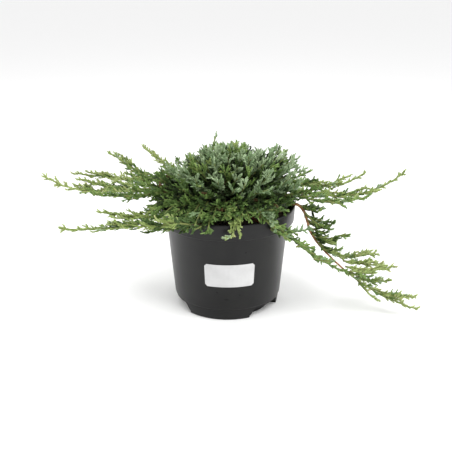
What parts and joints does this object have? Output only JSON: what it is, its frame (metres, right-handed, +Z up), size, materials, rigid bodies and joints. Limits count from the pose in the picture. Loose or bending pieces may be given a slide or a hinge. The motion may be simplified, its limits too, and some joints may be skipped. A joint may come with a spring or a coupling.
{
  "type": "creeping juniper in a nursery pot",
  "caption": "Low spreading creeping juniper in a round black nursery pot: a mound of cord-like foliage with long shoots reaching out past the rim and one spray hanging down its side.",
  "frame": {"origin": "centre of the pot's foot, on the plane the pot stands on", "axes": "+Z up along the pot's axis, -Y towards the front where the label is, +X to the right seen from the front"},
  "size_m": [0.5278, 0.3441, 0.25],
  "materials": {
    "pot": "matte black, slightly scuffed",
    "soil": "dark fibrous potting mix",
    "label": "matt white film",
    "bark": "thin flaking red-brown bark",
    "foliage": "scale leaves, blue-green to yellow-green"
  },
  "bodies": {
    "root": {"bough_back": "bark", "bough_back_left": "bark", "bough_back_right": "bark", "bough_front": "bark", "bough_front_left": "bark", "bough_front_right": "bark", "bough_left": "bark", "bough_right": "bark", "bough_right_hanging": "bark", "bough_right_rim": "bark", "bough_top_middle": "bark", "crown_back": "foliage", "crown_back_left": "foliage", "crown_back_right": "foliage", "crown_front": "foliage", "crown_front_left": "foliage", "crown_front_right": "foliage", "crown_left": "foliage", "crown_right": "foliage", "crown_top_left": "foliage", "crown_top_middle": "foliage", "crown_top_right": "foliage", "label": "label", "pot": "pot", "shoot_back_left": "foliage", "shoot_back_left_low": "foliage", "shoot_back_left_upper": "foliage", "shoot_back_long": "foliage", "shoot_back_low": "foliage", "shoot_back_right": "foliage", "shoot_back_right_low": "foliage", "shoot_front_left": "foliage", "shoot_front_left_long": "foliage", "shoot_front_left_low": "foliage", "shoot_front_right_fan": "foliage", "shoot_front_right_long": "foliage", "shoot_front_spray": "foliage", "shoot_hang_spray_lower": "foliage", "shoot_hang_spray_upper": "foliage", "shoot_hang_tuft": "foliage", "shoot_left_long": "foliage", "shoot_left_mid": "foliage", "shoot_left_under": "foliage", "shoot_left_upper": "foliage", "shoot_low_fan_back": "foliage", "shoot_low_fan_lower": "foliage", "shoot_low_fan_middle": "foliage", "shoot_low_fan_upper": "foliage", "shoot_low_leader": "foliage", "shoot_low_second": "foliage", "shoot_low_tuft": "foliage", "shoot_right_long": "foliage", "shoot_right_lower": "foliage", "shoot_right_upper": "foliage", "shoot_top_whip": "foliage", "soil": "soil", "stem": "bark"}
  },
  "joints": []
}
